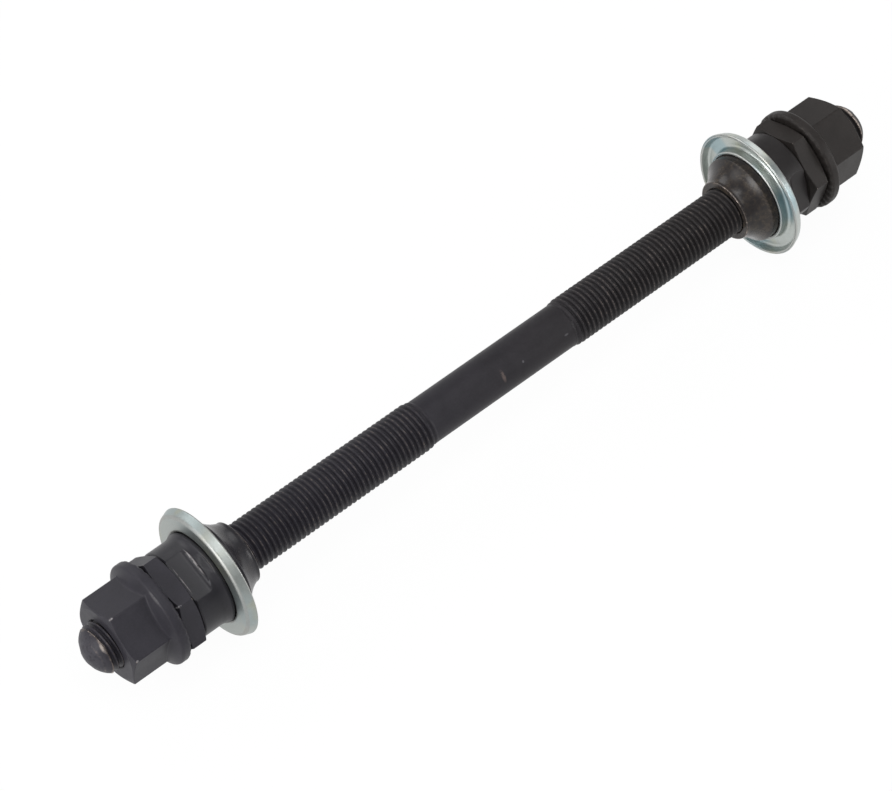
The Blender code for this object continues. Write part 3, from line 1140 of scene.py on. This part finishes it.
@dataclass(kw_only=True)
class DustCap(EndPiece):
    """The pressed dish on the cone, with a flared wall outside and a collar turned in round the cone.

    Each pair of bends or fillets is that of the sheet's outer side and that of its inner side.
    """

    collar_radius: float = 8.9 * MM
    depth: float = 1.9 * MM
    draft: float = math.radians(20)
    sheet: float = 0.6 * MM
    corner_bends: Pair = (0.85 * MM, 0.58 * MM)
    collar_bends: Pair = (0.75 * MM, 0.6 * MM)
    collar_fillets: Pair = (0.2 * MM, 0.25 * MM)
    lip_rounding: float = 0.27 * MM
    columns: int = 192
    bend_steps: int = 6

    def mesh(self) -> Mesh:
        """The sheet's outer side and, one sheet thickness behind it, its inner side.

        The wall leans out by the draft d. One thickness t behind it, the inner corner lies
        t (1 - sin d) / cos d nearer to the axle than the outer one, and t behind the flat web.

        Returns:
            The cap, with height 0 at its outer face.
        """
        inner, outer = self.reach()
        collar_end = inner - outer
        corner = self.widest - self.depth * math.tan(self.draft)
        sine, cosine = math.sin(self.draft), math.cos(self.draft)
        corners = [
            (self.collar_radius, collar_end, self.collar_fillets[0]),
            (self.collar_radius, 0.0, self.collar_bends[0]),
            (corner, 0.0, self.corner_bends[0]),
            (self.widest, -self.depth, self.lip_rounding),
            (self.widest - self.sheet * cosine, -self.depth - self.sheet * sine, self.lip_rounding),
            (corner - self.sheet * (1 - sine) / cosine, -self.sheet, self.corner_bends[1]),
            (self.collar_radius + self.sheet, -self.sheet, self.collar_bends[1]),
            (self.collar_radius + self.sheet, collar_end, self.collar_fillets[1]),
        ]
        section = Section(corners, around(self.columns), steps=self.bend_steps)
        return section.swept(self.node, self.end, outer)


@dataclass(kw_only=True)
class Nut(EndPiece):
    """A hexagonal nut whose chamfer rises from a round face. Height 0 is at its inner face."""

    width: float
    face_radius: float
    chamfer: float = math.radians(20)
    closed_up: float = NUT_CLOSURE

    def directions(self) -> np.ndarray:
        """Directions that the nut needs besides those of its hexagon."""
        return around(self.columns)

    def corners(self, height: float, side: np.ndarray, drop: np.ndarray, angles: np.ndarray) -> list[Corner]:
        """The nut's section, from its bore outwards and back. Each kind of nut has its own.

        Args:
            height: the nut's height.
            side: the hexagon's radius at each angle.
            drop: how far the chamfer's edge lies below the face at each angle.
            angles: the directions of the columns.

        Returns:
            The corners.
        """
        raise NotImplementedError

    def mesh(self) -> Mesh:
        """The chamfer falls by (r - face radius) tan(slope), so its edge bows in towards every corner.

        Returns:
            The nut.
        """
        inner, outer = self.reach()
        outline = Hexagon(self.width, self.turn)
        angles = merged_angles(outline.angles(), self.directions())
        side = outline.radius(angles)
        drop = (side - self.face_radius) * math.tan(self.chamfer)
        corners = self.corners(outer - inner, side, drop, angles)
        section = Section(corners, angles, rub=partial(outline.rub, angles))
        return section.swept(self.node, self.end, inner)


@dataclass(kw_only=True)
class Locknut(Nut):
    """A thin hexagonal nut with a chamfer on both faces."""

    width: float = 17.0 * MM
    face_radius: float = 8.2 * MM
    face_fillet: float = 0.1 * MM
    side_fillet: float = 0.14 * MM

    def corners(self, height: float, side: np.ndarray, drop: np.ndarray, angles: np.ndarray) -> list[Corner]:
        """The same at both faces, so the section mirrors at half its height.

        Args:
            height: the nut's height.
            side: the hexagon's radius at each angle.
            drop: how far the chamfer's edge lies below the face at each angle.
            angles: the directions of the columns. Not used here.

        Returns:
            The corners.
        """
        return [
            (self.bore, height - self.countersink, self.bore_fillet),
            (self.mouth, height, self.mouth_fillet),
            (self.face_radius, height, self.face_fillet),
            (side, height - drop, self.side_fillet),
            (side, drop, self.side_fillet),
            (self.face_radius, 0.0, self.face_fillet),
            (self.mouth, 0.0, self.mouth_fillet),
            (self.bore, self.countersink, self.bore_fillet),
        ]


@dataclass(kw_only=True)
class AxleNut(Nut):
    """The outer nut, in one piece with a cone-backed flange whose inner face has radial teeth.

    outer_fillets are those of the outer face: at the bore's mouth, at the chamfer's foot and at its edge.
    """

    width: float = 15.0 * MM
    face_radius: float = 7.2 * MM
    outer_fillets: tuple[float, float, float] = (0.1 * MM, 0.14 * MM, 0.16 * MM)
    flange_fillet: float = 0.45 * MM
    rim: float = 1.75 * MM
    rim_rounding: float = 0.62 * MM
    flange_slope: float = math.radians(27)
    teeth: int = 36
    tooth_depth: float = 0.14 * MM
    groove_share: float = 0.8

    def grooves(self, angles: np.ndarray) -> np.ndarray:
        """How deep the grooves between the teeth are at the rim, at each angle.

        In units of half a tooth pitch, the depth falls in a straight line from the groove's middle to its
        edge at groove_share, and is 0 on the flat land beyond.

        Args:
            angles: directions round the axle.

        Returns:
            One depth for each.
        """
        pitch = math.tau / self.teeth
        off = np.abs((angles - self.turn + pitch / 2) % pitch - pitch / 2) / (pitch / 2)
        return self.tooth_depth * np.clip(1.0 - off / self.groove_share, 0.0, 1.0)

    def directions(self) -> np.ndarray:
        """Directions along each groove's middle, flanks and edges, and its land's middle.

        Returns:
            The angles, tooth by tooth.
        """
        pitch = math.tau / self.teeth
        edge, flank = self.groove_share / 2, self.groove_share / 4
        within = np.array([-0.5, -edge, -flank, 0.0, flank, edge])
        return self.turn + np.add.outer(np.arange(self.teeth), within).ravel() * pitch

    def corners(self, height: float, side: np.ndarray, drop: np.ndarray, angles: np.ndarray) -> list[Corner]:
        """Bore, face, chamfer, flat or corner, down to the flange's cone, its rim and the grooves.

        The cone stands (flange radius - r) tan(slope) above the rim, so it climbs higher on the flats than
        at the corners. The grooves' depth grows with the radius.

        Args:
            height: the nut's height.
            side: the hexagon's radius at each angle.
            drop: how far the chamfer's edge lies below the face at each angle.
            angles: the directions of the columns.

        Returns:
            The corners.
        """
        rim = self.rim + self.closed_up
        cone = rim + (self.widest - side) * math.tan(self.flange_slope)
        groove = self.grooves(angles)
        return [
            (self.bore, height - self.countersink, self.bore_fillet),
            (self.mouth, height, self.outer_fillets[0]),
            (self.face_radius, height, self.outer_fillets[1]),
            (side, height - drop, self.outer_fillets[2]),
            (side, cone, self.flange_fillet),
            (self.widest, rim, self.rim_rounding),
            (self.widest, groove, self.rim_rounding),
            (self.mouth, groove * self.mouth / self.widest, self.mouth_fillet),
            (self.bore, self.countersink, self.bore_fillet),
        ]


@dataclass(frozen=True)
class PhotoCamera:
    """The camera fitted to the photograph, from the rod's widths and the dust caps' ellipses."""

    picture: tuple[int, int] = (892, 791)
    focal: float = 3547.0
    distance: float = 635.7 * MM
    lean: float = math.radians(23.29)
    slant: float = math.radians(34.94)
    aim: Pair = (462.2, 394.7)
    aimed_at: float = -7.075 * MM
    sensor: float = 36.0
    clip: Pair = (0.01, 20.0)

    def build(self) -> None:
        """Places the camera so that the point of the axle at aimed_at lies at aim in the picture.

        The axle leans away from the picture plane by lean and slants up in it by slant, and the camera is
        held upright. So the axle's parts along the camera's right, up and back axes are cos(lean) cos(slant),
        cos(lean) sin(slant) and -sin(lean). Straight up has no part along right and lies square to the axle.
        The world's three axes, written in the camera's, are the rows of the matrix that turns it into the
        world.
        """
        level = math.cos(self.lean)
        axle = Vector((level * math.cos(self.slant), level * math.sin(self.slant), -math.sin(self.lean)))
        tilt = math.atan2(axle.y, -axle.z)
        rise = Vector((0.0, math.cos(tilt), math.sin(tilt)))
        to_world = Matrix((axle.cross(rise), axle, rise))
        metres = self.distance / self.focal
        left = (self.picture[0] / 2 - self.aim[0]) * metres
        down = (self.aim[1] - self.picture[1] / 2) * metres
        place = Vector((0.0, self.aimed_at, 0.0)) + to_world @ Vector((left, down, self.distance))
        data = bpy.data.cameras.new("photo_camera")
        data.sensor_fit = "HORIZONTAL"
        data.sensor_width = self.sensor
        data.lens = self.focal / self.picture[0] * self.sensor
        data.clip_start, data.clip_end = self.clip
        matrix = Matrix.Translation(place) @ to_world.to_4x4()
        bpy.context.scene.camera = placed("photo_camera", data, matrix)


@dataclass(frozen=True)
class Lamp:
    """A round soft lamp that faces the axle's middle."""

    name: str
    azimuth: float
    elevation: float
    size: float
    power: float
    distance: float = 1.0

    def build(self) -> None:
        """Hangs the lamp. Its azimuth runs from +X towards +Y, and both angles are in degrees."""
        turn, rise = math.radians(self.azimuth), math.radians(self.elevation)
        level = self.distance * math.cos(rise)
        place = Vector((level * math.cos(turn), level * math.sin(turn), self.distance * math.sin(rise)))
        light = bpy.data.lights.new(self.name, "AREA")
        light.shape, light.energy, light.size = "DISK", self.power, self.size
        facing = place.to_track_quat("Z", "Y").to_matrix().to_4x4()
        lamp = placed(self.name, light, Matrix.Translation(place) @ facing)
        lamp.visible_camera = False


@dataclass(frozen=True)
class Studio:
    """A white sweep of floor under soft lamps."""

    floor_width: float = 6.0
    floor_grey: Colour = (0.82, 0.82, 0.82)
    floor_roughness: float = 0.9
    floor_white: float = 0.96
    white: Colour = (1.0, 1.0, 1.0)
    world_colour: Colour = (0.98, 1.0, 1.02)
    world_strength: float = 0.32
    lamps: tuple[Lamp, ...] = (
        Lamp("top_lamp", azimuth=0, elevation=88, size=0.55, power=3.1),
        Lamp("front_lamp", azimuth=270, elevation=18, size=0.50, power=6.4),
        Lamp("side_lamp", azimuth=0, elevation=60, size=0.55, power=2.0),
        Lamp("end_lamp", azimuth=50, elevation=16, size=0.50, power=3.4),
        Lamp("back_lamp", azimuth=180, elevation=30, size=0.55, power=2.6),
        Lamp("left_lamp", azimuth=228, elevation=33, size=0.50, power=1.6),
        Lamp("far_lamp", azimuth=115, elevation=18, size=0.50, power=1.0),
        Lamp("spot_lamp", azimuth=288, elevation=71, size=0.25, power=1.0),
    )

    def build(self, floor_height: float) -> None:
        """Lays the floor, hangs the lamps and sets the world and the view.

        Args:
            floor_height: z of the floor.
        """
        self._floor(floor_height)
        for lamp in self.lamps:
            lamp.build()
        self._world()
        bpy.context.scene.view_settings.view_transform = "Standard"

    def _floor(self, height: float) -> None:
        """A large plain floor, white to the camera and in reflections, with a soft shadow on it.

        Args:
            height: its z.
        """
        half = self.floor_width / 2
        mesh = bpy.data.meshes.new("floor")
        corners = [(-half, -half, height), (half, -half, height), (half, half, height), (-half, half, height)]
        mesh.from_pydata(corners, [], [(0, 1, 2, 3)])
        shader = Shader("white_floor")
        seen = shader.seen("Is Camera Ray", "Is Glossy Ray", "Is Transmission Ray")
        glow = shader.node("Emission", inputs={"Color": self.white, "Strength": 1.0})
        shader.mixed(seen * self.floor_white, shader.surface.outputs[0], glow.outputs[0])
        mesh.materials.append(shader.finish(base_color=self.floor_grey, roughness=self.floor_roughness))
        placed("floor", mesh)

    def _world(self) -> None:
        """An even pale sky for the light, and plain white where the camera looks past the floor."""
        world = bpy.data.worlds.new("studio")
        bpy.context.scene.world = world
        world.use_nodes = True
        nodes = Nodes(world.node_tree)
        sky = world.node_tree.nodes["Background"]
        nodes.feed(sky.inputs["Color"], self.world_colour)
        nodes.feed(sky.inputs["Strength"], self.world_strength)
        white = nodes.node("Background", inputs={"Color": self.white})
        nodes.mixed(nodes.seen("Is Camera Ray"), sky.outputs[0], white.outputs[0])


# The set. The finishes' marks give along, angle, length, width and colour.


@dataclass(frozen=True)
class Turns:
    """How far each end's pieces are turned round the axle in the photograph, in degrees."""

    cone: float
    locknut: float
    axle_nut: float


TURNS = {
    End.LEFT: Turns(cone=18.5, locknut=41.4, axle_nut=9.6),
    End.RIGHT: Turns(cone=72.0, locknut=11.5, axle_nut=5.5),
}


def axle_finish() -> BlackPhosphate:
    """The axle's coat, with a scuff and two nicks on the shank and painted light on the near dome.

    Returns:
        The finish.
    """
    return BlackPhosphate(
        "blackened_axle",
        near_colour=(0.0222, 0.0206, 0.0258),
        far_colour=(0.0168, 0.0148, 0.0150),
        wear_amount=0.60,
        marks=(
            Mark(-0.2, 50, 3.2, 1.0, (0.085, 0.065, 0.060)),
            Mark(4.6, 48, 0.7, 0.6, (0.075, 0.072, 0.080)),
            Mark(14.8, 55, 0.5, 1.2, (0.080, 0.078, 0.084)),
            # Painted sheen: the near dome is painted paler all over than the thread behind it.
            Mark(-92.4, 0, ALL_ROUND, 6.0, (0.037, 0.035, 0.042)),
            # The near dome's worn edge, with a painted glint on it.
            Mark(-89.9, 33, 2.6, 1.1, (0.300, 0.262, 0.235)),
        ),
    )


def cone_finish() -> BlackPhosphate:
    """The cones' coat, with two painted highlight lines across the near flat, and a ground race and nose.

    Returns:
        The finish.
    """
    return BlackPhosphate(
        "blackened_cone",
        near_colour=(0.0182, 0.0174, 0.0208),
        far_colour=(0.0185, 0.0162, 0.0162),
        ground_up_to=64.6 * MM,
        roughness=0.38,
        specular=0.235,
        wear_amount=0.60,
        turning_depth=0.002 * MM,
        marks=(
            # Painted highlights: two pale lines across the near wrench flat.
            Mark(-69.0, 8, 7.2, 0.32, (0.240, 0.225, 0.225)),
            Mark(-72.6, 18, 7.0, 0.26, (0.180, 0.165, 0.170)),
        ),
    )


def nut_finish() -> BlackPhosphate:
    """The nuts' coat, with painted glints on near corners and a painted highlight line on the near flange.

    Returns:
        The finish.
    """
    return BlackPhosphate(
        "blackened_nut",
        near_colour=(0.0240, 0.0226, 0.0280),
        far_colour=(0.0216, 0.0185, 0.0171),
        wear_amount=0.70,
        marks=(
            # Painted glints on two corners of the near axle nut.
            Mark(-87.0, 9, 0.6, 0.9, (0.290, 0.275, 0.280)),
            Mark(-87.0, 69, 0.6, 0.7, (0.200, 0.190, 0.195)),
            # A painted glint on a corner of the near locknut.
            Mark(-76.4, 41, 0.5, 1.2, (0.260, 0.250, 0.260)),
            # A painted highlight line along the near flange's rim.
            Mark(-79.2, 20, 4.4, 0.45, (0.065, 0.062, 0.066)),
        ),
    )


def pieces() -> list[Piece]:
    """Every piece of the set, from the axle outwards, with the finishes they share.

    Returns:
        The pieces, not yet built.
    """
    axle_coat, cone_coat = axle_finish().material(), cone_finish().material()
    nut_coat, zinc = nut_finish().material(), ZincPlate("zinc_plate").material()
    made: list[Piece] = [ThreadedAxle(node="axle", rides="axle", slot="blackened_axle", finish=axle_coat)]
    for end, turns in TURNS.items():
        cone, cap, locknut, axle_nut = (
            f"{end.label}_{kind}" for kind in ("cone", "dust_cap", "locknut", "axle_nut")
        )
        on_cone = dict(rides=cone, end=end, turn=math.radians(turns.cone))
        screwed = dict(slot="blackened_nut", finish=nut_coat, end=end)
        made += [
            BearingCone(node=cone, slot="blackened_cone", finish=cone_coat, **on_cone),
            DustCap(node=cap, slot="zinc_plate", finish=zinc, **on_cone),
            Locknut(node=locknut, rides=locknut, turn=math.radians(turns.locknut), **screwed),
            AxleNut(node=axle_nut, rides=axle_nut, turn=math.radians(turns.axle_nut), **screwed),
        ]
    return made


def main() -> None:
    """Builds every piece, then the camera, floor and lamps, and logs each piece's points and faces."""
    logging.basicConfig(level=logging.INFO, format="%(name)s: %(message)s")
    for piece in pieces():
        made = piece.build()
        LOG.info("%s: %d points, %d faces", made.name, len(made.data.vertices), len(made.data.polygons))
    PhotoCamera().build()
    Studio().build(CAD_BOX[0][2])


if __name__ == "__main__":
    main()
